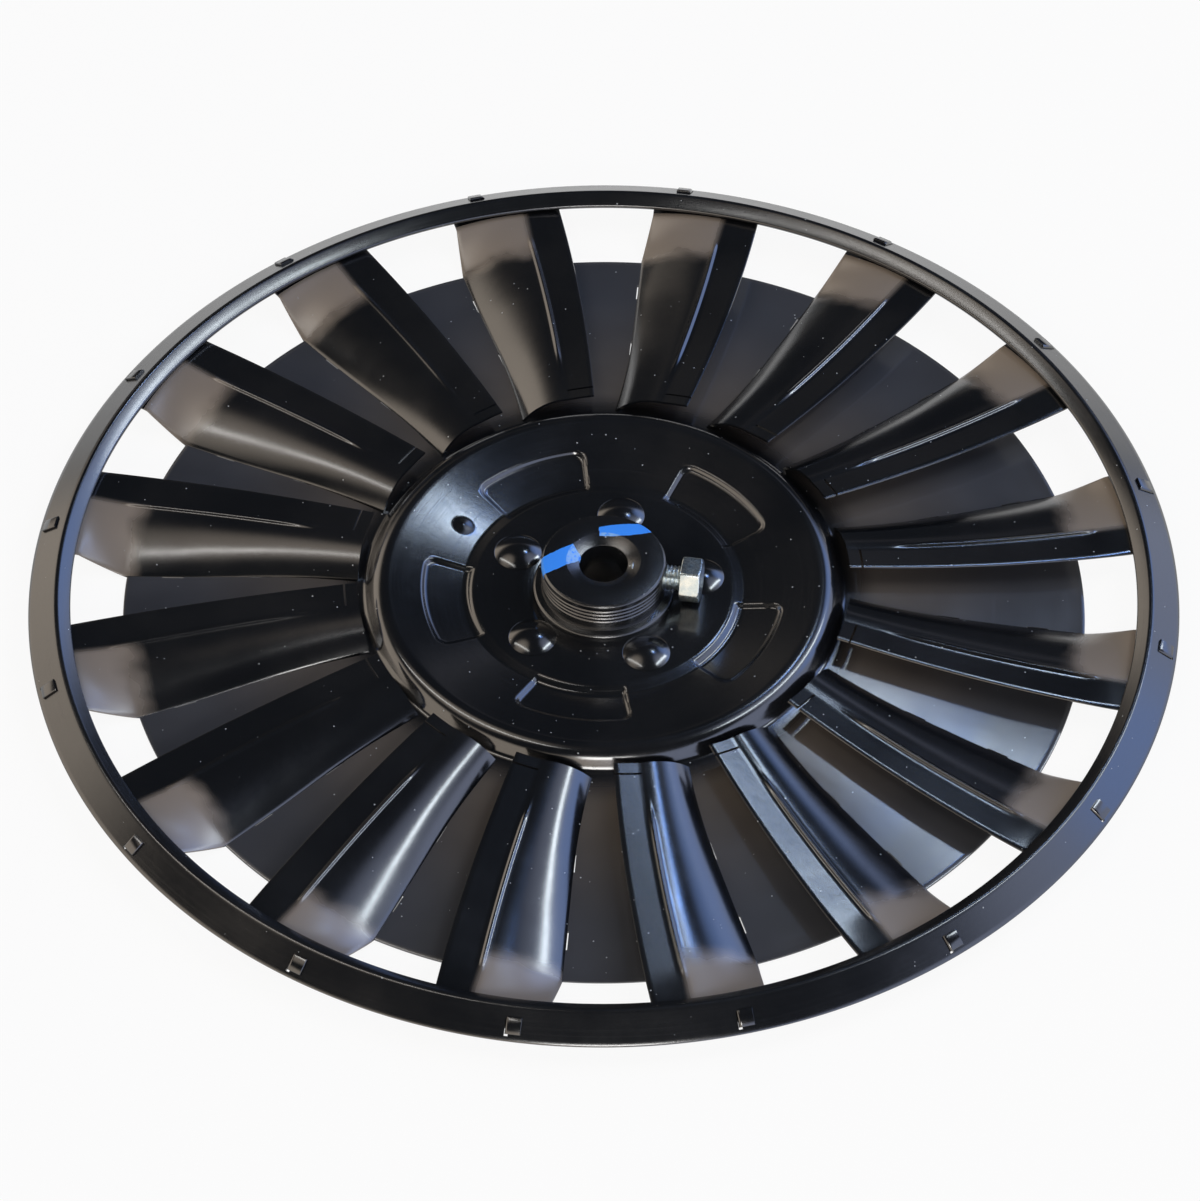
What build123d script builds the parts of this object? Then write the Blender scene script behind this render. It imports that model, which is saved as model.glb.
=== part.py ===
from build123d import *
from math import atan2, cos, degrees, hypot, pi, radians, sin, tan
import os

# Fan impeller: a pressed back plate with a domed hub pan, sixteen folded sheet blades and a conical
# front ring, on a turned hub that five rivets hold to the pan.
# Millimetres. The shaft axis is Z and the air inlet is at +Z. The origin is on the axis, in the plane
# of the back plate's rear rim, on which the wheel can lie.

# ---- overall ----
sheet_t = 1.2                 # back plate and front ring
blade_t = 1.0
blade_count = 16
first_foot_angle = 107.5      # direction of the first blade's foot, degrees from +X

# ---- front ring: radii and heights of its outer face ----
ring_r = 225.0
ring_rim_z = 8.8
ring_skirt_w = 11.5           # from the crest out to the rim
ring_crest_r = ring_r - ring_skirt_w
ring_crest_z = 16.9
ring_crest_radius = 2.2
ring_lip_w = 5.9              # from the crest in to the lip
lip_r = ring_crest_r - ring_lip_w
lip_z = 13.3
hem_width = 3.4

# ---- back plate: radii and heights of its upper face ----
throat_w = 19.2               # from the plate's rim out to the ring's lip
plate_r = lip_r - throat_w
plate_rim_z = sheet_t
plate_bend_r = 162.0
plate_bend_z = 3.1
plate_bend_radius = 300.0
pan_foot_r = 93.4
pan_foot_z = 10.3
pan_foot_radius = 3.0
pan_shoulder_r = 88.0
pan_shoulder_z = 18.1
pan_shoulder_radius = 7.0
pan_floor_r = 55.0
pan_floor_z = 11.1
pan_bend_radius = 2.0
disc_r = 50.3
disc_z = 12.0

# ---- pressed pads around the disc, and the locating dimple ----
pad_count = 5
pad_first_angle = 43.4
pad_sweep = 38.0
pad_inner_r = 52.4
pad_outer_r = 70.5
pad_depth = 1.4
pad_corner_radius = 4.0
pad_wall = 1.4
dimple_r = 63.5
dimple_angle = 150.0
dimple_width = 9.0
dimple_depth = 0.9

# ---- blades, in a frame whose X axis runs along the blade's foot ----
blade_inner_r = 96.3
blade_tip_seat = 0.1          # gap between a blade's top and the ring's hem
lead_inner = (92.0, -25.0)    # leading edge: distance out, distance ahead of the foot
lead_outer_margin = 5.3       # leading edge's outer end, back from the ring's lip
lead_outer = (lip_r - lead_outer_margin, -45.6)
lead_inner_z = 19.2
lead_bow = 2.0                # how far the leading edge bows ahead between its ends
lead_sag = 0.7                # how far it dips below the line between its ends
strip_inner_w = 11.5          # flat strip between the leading edge and the fold
strip_outer_w = 15.0
strip_drop = 0.9
wall_bulge = 1.9              # rise of the curved wall over its chord
trail_bulge = 0.4             # the same at the trailing edge
trail_blend = 5.0             # run over which the foot turns into the trailing edge
blade_sections = 7            # lofted between the pan and the plate's rim
foot_inner_sweep = 4.0        # how far the foot trails at its inner end
foot_outer_sweep = -3.5       # how far the trailing edge leads at the ring
foot_slope = 45.0             # of the wall where it meets the plate
foot_run_in = 1.8             # depth of wall under the plate's face before it is trimmed
bead_h = 0.7                  # stiffening bead along the fold
bead_w = 3.0
bead_least_h = 0.02
bead_start = 112.0
bead_overrun = 5.6            # past the plate's rim
bead_end = plate_r + bead_overrun
bead_rise_run = 16.0          # length over which it rises, and over which it ends
bead_end_run = 7.0
trail_tip_drop = 0.5          # trailing edge's tip below the blade's flat end
slit_x = 97.5                 # along the foot line
slit_w = 0.8
slit_l = 12.0

# ---- tabs and slots ----
foot_tab_margin = 18.4        # middle of the outer tab, back from the plate's rim
foot_tab_pitch = 35.0
foot_tab_radii = (plate_r - foot_tab_margin - foot_tab_pitch, plate_r - foot_tab_margin)
foot_tab_l = 8.0
foot_tab_below = 0.8
slot_clearance = 0.25
plate_slot_w = 2.4
ring_tab_angle = -4.6         # from the blade's foot
ring_tab_margin = 2.2         # tab's outer edge, back from the ring's rim
ring_tab_l = 5.2
ring_tab_outer_r = ring_r - ring_tab_margin
ring_tab_inner_r = ring_tab_outer_r - ring_tab_l
ring_tab_w = 6.0
ring_tab_t = 1.0
ring_neck_run = 6.6           # from the tab back to the neck's root
ring_neck_root_r = ring_tab_inner_r - ring_neck_run

# ---- hub, rivets and set screw ----
bore_r = 9.525
bore_chamfer = 5.0
bore_chamfer_depth = 1.8
barrel_r = 24.3
barrel_edge = 0.8
barrel_h = 15.4               # above the disc
spigot_r = 27.5
spigot_h = 1.6                # above the disc
spigot_clearance = 0.15
flange_r = 46.5
flange_t = 4.5
hub_rear_z = 0.4
rear_boss_r = 22.0
rear_edge = 1.0
groove_count = 4
groove_w = 0.9
groove_depth = 0.45
groove_pitch = 1.9
groove_first_drop = 3.2       # from the barrel's top to the first turned groove
rivet_count = 5
rivet_first_angle = 7.4
rivet_pcd_r = 38.2
rivet_head_r = 9.35
rivet_head_h = 2.8
rivet_shank_r = 3.0
rivet_hole_clearance = 0.1
rivet_tail_r = 5.0
rivet_tail_h = 2.0
screw_angle = -9.0
screw_r = 5.0
screw_hole_clearance = 0.05
screw_above_disc = 9.8
screw_head_af = 16.0
screw_head_t = 8.0
screw_head_start_r = 30.6
screw_head_chamfer = 0.8
screw_point_chamfer = 1.0
screw_tip_gap = 0.3           # tip stands back from the bore's wall

# ---- worked out ----
step = 360 / blade_count
barrel_top_z = disc_z + barrel_h
flange_top_z = disc_z - sheet_t
flange_rear_z = flange_top_z - flange_t
screw_z = disc_z + screw_above_disc
plate_hole_r = spigot_r + spigot_clearance
foot_thickness = blade_t / cos(radians(foot_slope))
trim_reach = 60.0             # how far the shapes that trim a blade run past the part


def offset_right(points, distance):
    """The same open outline, moved to the right of its direction of travel, with mitred corners."""
    moved = []
    for i, (x, y) in enumerate(points):
        sides = []
        for a, b in ((i - 1, i), (i, i + 1)):
            if a < 0 or b >= len(points):
                continue
            dx = points[b][0] - points[a][0]
            dy = points[b][1] - points[a][1]
            sides.append((dy / hypot(dx, dy), -dx / hypot(dx, dy)))
        nx = sum(s[0] for s in sides)
        ny = sum(s[1] for s in sides)
        size = hypot(nx, ny)
        nx, ny = nx / size, ny / size
        reach = distance / (nx * sides[0][0] + ny * sides[0][1])
        moved.append((x + nx * reach, y + ny * reach))
    return moved


def turn(a, b, c):
    """Signed change of direction at b, in radians: positive to the left."""
    before = atan2(b[1] - a[1], b[0] - a[0])
    after = atan2(c[1] - b[1], c[0] - b[0])
    return (after - before + pi) % (2 * pi) - pi


def rounded(points, radii):
    """Edges of an open outline in the XZ plane, with an arc of the given radius at each inner point."""
    edges = []
    start = points[0]
    for a, b, c, radius in zip(points, points[1:], points[2:], radii):
        bend = turn(a, b, c)
        back = radius * tan(abs(bend) / 2)
        before = hypot(b[0] - a[0], b[1] - a[1])
        after = hypot(c[0] - b[0], c[1] - b[1])
        u = ((b[0] - a[0]) / before, (b[1] - a[1]) / before)
        v = ((c[0] - b[0]) / after, (c[1] - b[1]) / after)
        first = (b[0] - u[0] * back, b[1] - u[1] * back)
        last = (b[0] + v[0] * back, b[1] + v[1] * back)
        inward = (v[0] - u[0], v[1] - u[1])
        size = hypot(*inward)
        to_arc = radius / cos(bend / 2) - radius
        middle = (b[0] + inward[0] / size * to_arc, b[1] + inward[1] / size * to_arc)
        edges.append(Edge.make_line(xz(start), xz(first)))
        edges.append(Edge.make_three_point_arc(xz(first), xz(middle), xz(last)))
        start = last
    edges.append(Edge.make_line(xz(start), xz(points[-1])))
    return edges


def xz(point):
    """A point of a section, as (radius, height), in space."""
    return (point[0], 0, point[1])


def sheet_section(points, radii, thickness):
    """Face of a bent sheet's section, its upper face along the points."""
    under = offset_right(points, thickness)
    under_radii = []
    for a, b, c, radius in zip(points, points[1:], points[2:], radii):
        under_radii.append(radius + thickness if turn(a, b, c) > 0 else radius - thickness)
    edges = rounded(points, radii) + rounded(under, under_radii)
    edges.append(Edge.make_line(xz(points[0]), xz(under[0])))
    edges.append(Edge.make_line(xz(points[-1]), xz(under[-1])))
    return Face(Wire(edges))


def polygon(points):
    """Face in the XZ plane through the given corners."""
    return Face(Wire.make_polygon([xz(p) for p in points]))


def spin(face, sweep=360.0, start=0.0):
    """Solid of revolution about the shaft axis, from the given angle."""
    return Rot(0, 0, start) * revolve(face, Axis.Z, revolution_arc=sweep)


def around(shape, count, first=0.0):
    """Copies of a shape evenly round the shaft axis."""
    return [Rot(0, 0, first + i * 360 / count) * shape for i in range(count)]


# ---- sections that several pieces share ----
plate_points = [
    (plate_hole_r, disc_z),
    (disc_r, disc_z),
    (pan_floor_r, pan_floor_z),
    (pan_shoulder_r, pan_shoulder_z),
    (pan_foot_r, pan_foot_z),
    (plate_bend_r, plate_bend_z),
    (plate_r, plate_rim_z),
]
plate_radii = [pan_bend_radius, pan_bend_radius, pan_shoulder_radius, pan_foot_radius, plate_bend_radius]
ring_points = [(lip_r, lip_z), (ring_crest_r, ring_crest_z), (ring_r, ring_rim_z)]
ring_radii = [ring_crest_radius]


def height_on(points, r):
    """Height of an outline at a radius, ignoring its rounded corners."""
    for a, b in zip(points, points[1:]):
        if r <= b[0]:
            return a[1] + (b[1] - a[1]) * (r - a[0]) / (b[0] - a[0])
    a, b = points[-2:]
    return a[1] + (b[1] - a[1]) * (r - a[0]) / (b[0] - a[0])


ring_under = offset_right(ring_points, sheet_t)
ring_hem_under = offset_right(ring_points, 2 * sheet_t)
blade_tip_z = ring_hem_under[0][1] - blade_tip_seat
trail_tip_z = blade_tip_z - blade_t - trail_tip_drop


# ---- back plate ----
def pad_sector(low, high, inner, outer, sweep):
    """Block over one pad, between two heights measured from the pan floor's slope."""
    corners = [
        (inner, height_on(plate_points[2:4], inner) + low),
        (outer, height_on(plate_points[2:4], outer) + low),
        (outer, height_on(plate_points[2:4], outer) + high),
        (inner, height_on(plate_points[2:4], inner) + high),
    ]
    block = spin(polygon(corners), sweep, -sweep / 2)
    upright = block.edges().filter_by(Axis.Z).sort_by(lambda edge: -hypot(edge.center().X, edge.center().Y))
    return fillet(upright[:2], pad_corner_radius)


def plate_slot(radius):
    """Cutter for one foot tab's slot."""
    length = foot_tab_l + 2 * slot_clearance
    cutter = Box(length, plate_slot_w, 4 * sheet_t)
    return Pos(radius, tab_y(radius), height_on(plate_points, radius)) * cutter


def make_backplate():
    """Back plate and hub pan, pressed from one sheet."""
    plate = spin(sheet_section(plate_points, plate_radii, sheet_t))
    wall_sweep = degrees(pad_wall / pad_outer_r) * 2
    tray = pad_sector(-pad_depth - sheet_t, -sheet_t / 2, pad_inner_r, pad_outer_r + pad_wall,
                      pad_sweep + wall_sweep)
    pocket = pad_sector(-pad_depth, 3 * sheet_t, pad_inner_r, pad_outer_r, pad_sweep)
    plate = plate + around(tray, pad_count, pad_first_angle)
    plate = plate - around(pocket, pad_count, pad_first_angle)
    ball_r = (dimple_width ** 2 / 4 + dimple_depth ** 2) / (2 * dimple_depth)
    floor_z = height_on(plate_points, dimple_r)
    plate = plate + Rot(0, 0, dimple_angle) * (
        Pos(dimple_r, 0, floor_z + dimple_depth - ball_r) * Sphere(ball_r)
        & Pos(dimple_r, 0, floor_z) * Cylinder(dimple_width / 2, 2 * sheet_t)
    )
    plate = plate - around(Pos(rivet_pcd_r, 0, disc_z) * Cylinder(
        rivet_shank_r + rivet_hole_clearance, 4 * sheet_t), rivet_count, rivet_first_angle)
    slots = [plate_slot(radius) for radius in foot_tab_radii]
    for slot in slots:
        plate = plate - around(slot, blade_count, first_foot_angle)
    return plate


# ---- front ring ----
def make_front_ring():
    """Conical inlet ring with a hemmed lip and one slot for each blade's tab."""
    section = sheet_section(ring_points, ring_radii, sheet_t)
    lip = offset_right(ring_points, sheet_t)
    under = offset_right(ring_points, 2 * sheet_t)
    reach = hem_width / hypot(lip[1][0] - lip[0][0], lip[1][1] - lip[0][1])
    hem_end = (lip[0][0] + (lip[1][0] - lip[0][0]) * reach, lip[0][1] + (lip[1][1] - lip[0][1]) * reach)
    hem_shift = (under[0][0] - lip[0][0], under[0][1] - lip[0][1])
    hem = polygon([lip[0], hem_end, (hem_end[0] + hem_shift[0], hem_end[1] + hem_shift[1]), under[0]])
    ring = spin(section) + spin(hem)
    inner = ring_tab_inner_r - slot_clearance
    outer = ring_tab_outer_r + slot_clearance
    width = degrees((ring_tab_t + 2 * slot_clearance) / ring_r)
    cutter = spin(polygon([
        (inner, height_on(ring_points, inner) - 3 * sheet_t),
        (outer, height_on(ring_points, outer) - 3 * sheet_t),
        (outer, height_on(ring_points, outer) + sheet_t),
        (inner, height_on(ring_points, inner) + sheet_t),
    ]), width, ring_tab_angle - width / 2)
    return ring - around(cutter, blade_count, first_foot_angle)


# ---- blades ----
def part_way(x, start, end):
    """How far x lies from start to end, held between 0 and 1."""
    return min(1.0, max(0.0, (x - start) / (end - start)))


def lead_y(x):
    """Leading edge's distance ahead of the foot line."""
    s = (x - lead_inner[0]) / (lead_outer[0] - lead_inner[0])
    bow = 4 * s * (1 - s) * lead_bow
    return lead_inner[1] + (lead_outer[1] - lead_inner[1]) * s - bow


def lead_z(x):
    """Leading edge's height, level from its outer end outwards."""
    s = part_way(x, lead_inner[0], lead_outer[0])
    return lead_inner_z + (blade_tip_z - lead_inner_z) * s - 4 * s * (1 - s) * lead_sag


def foot_y(x):
    """Foot's and trailing edge's place beside the foot line."""
    inner = 1 - part_way(x, lead_inner[0], 0.5 * (blade_inner_r + plate_r))
    outer = part_way(x, plate_r, lip_r)
    return foot_inner_sweep * inner ** 2 + foot_outer_sweep * outer


def foot_z(x):
    """Height of the plate's face or, past its rim, of the trailing edge."""
    if x <= plate_r:
        return height_on(plate_points, max(x, pan_foot_r))
    s = part_way(x, plate_r, lip_r)
    return plate_rim_z + (trail_tip_z - plate_rim_z) * s


def bead_rise(x):
    """Height of the bead along the fold, fading out at both ends."""
    rise = part_way(x, bead_start, bead_start + bead_rise_run)
    fall = part_way(x, bead_end, bead_end - bead_end_run)
    return bead_least_h + bead_h * rise * fall


def blade_outline(x):
    """Corners and arc middles of a blade's upper face, as (sideways, height), at a distance out."""
    lead = (lead_y(x), lead_z(x))
    strip_w = strip_inner_w + (strip_outer_w - strip_inner_w) * part_way(x, lead_inner[0], lip_r)
    flat = part_way(x, plate_r, lip_r)
    fold = (lead[0] + strip_w, lead[1] - strip_drop * (1 - flat))
    before = (fold[0] - bead_w / 2, fold[1])
    after = (fold[0] + bead_w / 2, fold[1])
    bead_top = (fold[0], fold[1] + bead_rise(x))
    run_in = foot_run_in * (1 - flat)
    foot = (foot_y(x) + run_in / tan(radians(foot_slope)), foot_z(x) - run_in)
    chord = hypot(foot[0] - after[0], foot[1] - after[1])
    across = ((after[1] - foot[1]) / chord, (foot[0] - after[0]) / chord)
    bulge = wall_bulge + (trail_bulge - wall_bulge) * flat
    wall = ((after[0] + foot[0]) / 2 + across[0] * bulge, (after[1] + foot[1]) / 2 + across[1] * bulge)
    return lead, before, bead_top, after, wall, foot


def blade_section(x):
    """Face across a blade at a distance out along its foot."""
    top = list(blade_outline(x))
    low = offset_right(top, blade_t)
    def at(point):
        return (x, point[0], point[1])
    edges = [
        Edge.make_line(at(top[0]), at(top[1])),
        Edge.make_three_point_arc(at(top[1]), at(top[2]), at(top[3])),
        Edge.make_three_point_arc(at(top[3]), at(top[4]), at(top[5])),
        Edge.make_line(at(top[5]), at(low[5])),
        Edge.make_three_point_arc(at(low[5]), at(low[4]), at(low[3])),
        Edge.make_three_point_arc(at(low[3]), at(low[2]), at(low[1])),
        Edge.make_line(at(low[1]), at(low[0])),
        Edge.make_line(at(low[0]), at(top[0])),
    ]
    return Face(Wire(edges))


def below_blades():
    """Everything that a blade is trimmed back to below: pan, plate and the trailing edge's line."""
    edges = rounded(plate_points[3:], plate_radii[3:])
    start = plate_points[3]
    rest = [
        (plate_r, plate_rim_z),
        (lip_r, trail_tip_z),
        (ring_r + trim_reach, trail_tip_z),
        (ring_r + trim_reach, -trim_reach),
        (0, -trim_reach),
        (0, trim_reach),
        (blade_inner_r, trim_reach),
        (blade_inner_r, start[1]),
        start,
    ]
    edges += [Edge.make_line(xz(a), xz(b)) for a, b in zip(rest, rest[1:])]
    return spin(Face(Wire(edges)))


def above_blades():
    """Everything that a blade is trimmed back to above: the ring's inner face and all beyond it."""
    beyond = ring_r + trim_reach
    edges = rounded(ring_under, [ring_crest_radius - sheet_t])
    rest = [
        ring_under[-1],
        (beyond, ring_under[-1][1]),
        (beyond, trim_reach),
        (lip_r, trim_reach),
        (lip_r, lip_z),
        ring_hem_under[0],
        ring_under[0],
    ]
    edges += [Edge.make_line(xz(a), xz(b)) for a, b in zip(rest, rest[1:])]
    return spin(Face(Wire(edges)))


def tab_y(radius):
    """Middle of the foot's thickness where it meets the plate."""
    return foot_y(radius) - foot_thickness / 2


def foot_tab(radius):
    """Tab that passes through the plate's slot and stands a little proud behind it."""
    face_z = height_on(plate_points, radius)
    low = face_z - sheet_t - foot_tab_below
    high = face_z + blade_t
    tab = Box(foot_tab_l, foot_thickness, high - low, align=(Align.CENTER, Align.CENTER, Align.MIN))
    return Pos(radius, tab_y(radius), low) * tab


def ring_tab():
    """Tab that rises through the ring's slot and is bent flat on its outer face."""
    inner = ring_tab_inner_r
    outer = ring_tab_outer_r
    inner_z = height_on(ring_points, inner)
    outer_z = height_on(ring_points, outer)
    neck_sweep = degrees(ring_tab_t / ring_r)
    neck = spin(polygon([
        (ring_neck_root_r, blade_tip_z - blade_t),
        (outer, outer_z - sheet_t),
        (outer, outer_z + ring_tab_t),
        (inner, inner_z + ring_tab_t),
        (inner, blade_tip_z),
        (ring_neck_root_r, blade_tip_z),
    ]), neck_sweep, ring_tab_angle - neck_sweep / 2)
    plate = spin(polygon([
        (inner, inner_z),
        (outer, outer_z),
        (outer, outer_z + ring_tab_t),
        (inner, inner_z + ring_tab_t),
    ]), degrees(ring_tab_w / ring_r), ring_tab_angle - neck_sweep / 2)
    return neck + plate


def make_blade():
    """One folded blade with its tabs, its foot along +X."""
    first = pan_shoulder_r
    last = plate_r - trail_blend
    stations = [first + (last - first) * i / (blade_sections - 1) for i in range(blade_sections)]
    stations += [plate_r + trail_blend, lead_outer[0], lip_r, ring_r]
    body = loft([blade_section(x) for x in stations])
    body = body - below_blades() - above_blades()
    slit = Pos(slit_x, lead_y(slit_x), lead_z(slit_x)) * Box(slit_w, 2 * slit_l, 6 * blade_t)
    body = body - slit
    for radius in foot_tab_radii:
        body = body + foot_tab(radius)
    return body + ring_tab()


# ---- hub, rivets and set screw ----
def make_hub():
    """Turned hub: grooved barrel in front, flange behind the disc and a plain rear boss."""
    section = polygon([
        (bore_r, hub_rear_z),
        (rear_boss_r - rear_edge, hub_rear_z),
        (rear_boss_r, hub_rear_z + rear_edge),
        (rear_boss_r, flange_rear_z),
        (flange_r, flange_rear_z),
        (flange_r, flange_top_z),
        (spigot_r, flange_top_z),
        (spigot_r, disc_z + spigot_h / 2),
        (spigot_r - spigot_h / 2, disc_z + spigot_h),
        (barrel_r, disc_z + spigot_h),
        (barrel_r, barrel_top_z - barrel_edge),
        (barrel_r - barrel_edge, barrel_top_z),
        (bore_r + bore_chamfer, barrel_top_z),
        (bore_r, barrel_top_z - bore_chamfer_depth),
    ])
    hub = spin(section)
    for i in range(groove_count):
        z = barrel_top_z - groove_first_drop - i * groove_pitch
        hub = hub - spin(polygon([
            (barrel_r - groove_depth, z),
            (barrel_r + groove_depth, z - groove_w),
            (barrel_r + groove_depth, z + groove_w),
        ]))
    hub = hub - around(Pos(rivet_pcd_r, 0, flange_top_z) * Cylinder(
        rivet_shank_r + rivet_hole_clearance, 4 * flange_t), rivet_count, rivet_first_angle)
    return hub - along_screw(0, screw_head_start_r, screw_r + screw_hole_clearance)


def along_screw(start, end, radius):
    """Cylinder on the set screw's axis, between two distances from the shaft axis."""
    rod = Pos(start, 0, screw_z) * Rot(0, 90, 0) * Cylinder(
        radius, end - start, align=(Align.CENTER, Align.CENTER, Align.MIN))
    return Rot(0, 0, screw_angle) * rod


def make_set_screw():
    """Hexagon-headed set screw, clamping the shaft through the barrel."""
    tip = bore_r + screw_tip_gap
    shank = along_screw(tip, screw_head_start_r, screw_r)
    shank = chamfer(shank.edges().sort_by(lambda edge: hypot(edge.center().X, edge.center().Y))[:1],
                    screw_point_chamfer)
    corner_r = screw_head_af / 2 / cos(radians(30))
    head = extrude(RegularPolygon(corner_r, 6), screw_head_t)
    top_r = corner_r - screw_head_chamfer
    cone = Cone(top_r + screw_head_t, top_r, screw_head_t, align=(Align.CENTER, Align.CENTER, Align.MIN))
    head = head & cone
    head = Rot(0, 0, screw_angle) * Pos(screw_head_start_r, 0, screw_z) * Rot(0, 90, 0) * Rot(0, 0, 30) * head
    return shank + head


def make_rivet():
    """One rivet: domed head on the disc, shank through the flange and a flat tail behind it."""
    ball_r = (rivet_head_r ** 2 + rivet_head_h ** 2) / (2 * rivet_head_h)
    head = Pos(0, 0, disc_z + rivet_head_h - ball_r) * Sphere(ball_r)
    above = Pos(0, 0, disc_z) * Cylinder(2 * rivet_head_r, 2 * rivet_head_h,
                                         align=(Align.CENTER, Align.CENTER, Align.MIN))
    low = flange_rear_z - rivet_tail_h
    shank = Pos(0, 0, low) * Cylinder(rivet_shank_r, disc_z - low,
                                      align=(Align.CENTER, Align.CENTER, Align.MIN))
    tail = Pos(0, 0, low) * Cylinder(rivet_tail_r, rivet_tail_h,
                                     align=(Align.CENTER, Align.CENTER, Align.MIN))
    return Pos(rivet_pcd_r, 0, 0) * ((head & above) + shank + tail)


def write(name, shape):
    """Save one piece as a STEP file named after it."""
    shape.label = name
    export_step(shape, "parts/" + name + ".step")


def main():
    """Build and save every piece."""
    os.makedirs("parts", exist_ok=True)
    write("backplate", make_backplate())
    write("front_ring", make_front_ring())
    write("hub", make_hub())
    write("set_screw", make_set_screw())
    write("rivets", Compound(children=around(make_rivet(), rivet_count, rivet_first_angle)))
    blade = make_blade()
    for i in range(blade_count):
        write("blade_%02d" % (i + 1), Rot(0, 0, first_foot_angle - i * step) * blade)


main()
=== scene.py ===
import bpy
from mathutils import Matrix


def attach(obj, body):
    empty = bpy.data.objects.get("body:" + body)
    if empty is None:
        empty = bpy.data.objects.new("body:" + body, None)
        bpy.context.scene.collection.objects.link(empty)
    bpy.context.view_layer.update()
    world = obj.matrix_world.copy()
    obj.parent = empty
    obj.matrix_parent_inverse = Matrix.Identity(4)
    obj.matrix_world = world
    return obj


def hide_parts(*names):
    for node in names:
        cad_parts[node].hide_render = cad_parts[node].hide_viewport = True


bl_info = {
    "name": "Fan Wheel Looks",
    "version": (1, 0, 0),
    "blender": (4, 5, 0),
    "location": "View3D > Sidebar > Fan Wheel",
    "description": "Builds the finished surfaces, paint and studio of a sheet-metal fan wheel",
    "category": "Object",
}

import math

import bpy
import numpy as np
from bpy.props import FloatProperty, FloatVectorProperty, PointerProperty
from mathutils import Matrix, Vector

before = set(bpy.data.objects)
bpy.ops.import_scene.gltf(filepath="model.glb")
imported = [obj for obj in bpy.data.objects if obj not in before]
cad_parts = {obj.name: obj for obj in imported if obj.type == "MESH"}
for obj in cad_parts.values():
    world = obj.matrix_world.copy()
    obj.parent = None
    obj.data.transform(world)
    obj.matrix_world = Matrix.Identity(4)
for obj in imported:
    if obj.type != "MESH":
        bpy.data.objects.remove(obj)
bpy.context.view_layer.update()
MM = 0.001
BLADES = 16
SECTOR = 360 / BLADES

# ---- sizes that several pieces share: millimetres, and degrees about Z ----
FIRST_FOOT = 107.5
# Upper face of the back plate, from the hub's hole to the rim: radius and height at each bend, and the
# radii that round the bends between
PLATE = [(27.65, 12.0), (50.3, 12.0), (55.0, 11.1), (88.0, 18.1), (93.4, 10.3), (162.0, 3.1), (188.4, 1.2)]
PLATE_BENDS = [2.0, 2.0, 7.0, 3.0, 300.0]
PAN_EDGE = PLATE[4][0]
PLATE_RIM, RIM_Z = PLATE[-1]
# Upper face of the front ring: radius and height at its lip, its crest and its rim
RING = [(207.6, 13.3), (213.5, 16.9), (225.0, 8.8)]
RING_LIP = RING[0][0]
# Tabs under a blade's foot: the radii of their middles, and their slots' half length and two sides, in
# degrees past the foot
FOOT_TABS = (135.0, 170.0)
FOOT_SLOT = (4.25, -0.72, 0.22)
# Tab up through the ring: its two radii, and its place in degrees past the foot
RING_TAB = (217.6, 222.8, -4.6)
# Heights of a blade's outer end, under the ring: at its leading edge and at its foot
BLADE_TIP_Z = 10.85
TRAIL_TIP_Z = 9.35
HUB_TOP = 27.4


# ---- outlines and surfaces, in millimetres ----
def unit(vector):
    """The vector at length 1."""
    return vector / np.linalg.norm(vector)


def left_of(vector):
    """A flat vector turned by a quarter, anticlockwise."""
    return np.array([-vector[1], vector[0]])


def polar(r, a, z):
    """Points at a radius, an angle in radians and a height."""
    return np.stack(np.broadcast_arrays(r * np.cos(a), r * np.sin(a), z), axis=-1)


def turned(points, radii, steps):
    """An open outline with each inner corner replaced by an arc that touches both of its sides."""
    out = [np.array(points[0], float)]
    for a, b, c, radius in zip(points, points[1:], points[2:], radii):
        a, b, c = (np.array(p, float) for p in (a, b, c))
        u, v = unit(b - a), unit(c - b)
        cross = u[0] * v[1] - u[1] * v[0]
        bend = math.atan2(cross, float(u @ v))
        side = math.copysign(1.0, bend)
        start = b - u * radius * math.tan(abs(bend) / 2)
        centre = start + radius * side * left_of(u)
        for angle in np.linspace(0, bend, steps):
            turn = np.array([[math.cos(angle), -math.sin(angle)], [math.sin(angle), math.cos(angle)]])
            out.append(centre + turn @ (start - centre))
    out.append(np.array(points[-1], float))
    return np.array(out)


def around_axis(profile, angles):
    """Grid of points: each (radius, height) of the profile at each angle about Z, in degrees."""
    return polar(profile[:, :1], np.radians(angles)[None, :], profile[:, 1:])


def turned_by(points, angle):
    """Points turned about Z by an angle in degrees."""
    c, s = math.cos(math.radians(angle)), math.sin(math.radians(angle))
    return points @ np.array([[c, s, 0], [-s, c, 0], [0, 0, 1]])


def grid_normals(grid, closed_columns):
    """Unit normals of a grid: the cross product of its differences along columns and along rows."""
    down = np.gradient(grid, axis=0)
    if closed_columns:
        across = np.roll(grid, -1, axis=1) - np.roll(grid, 1, axis=1)
    else:
        across = np.gradient(grid, axis=1)
    n = np.cross(down, across)
    return n / np.maximum(np.linalg.norm(n, axis=-1, keepdims=True), 1e-9)


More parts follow.
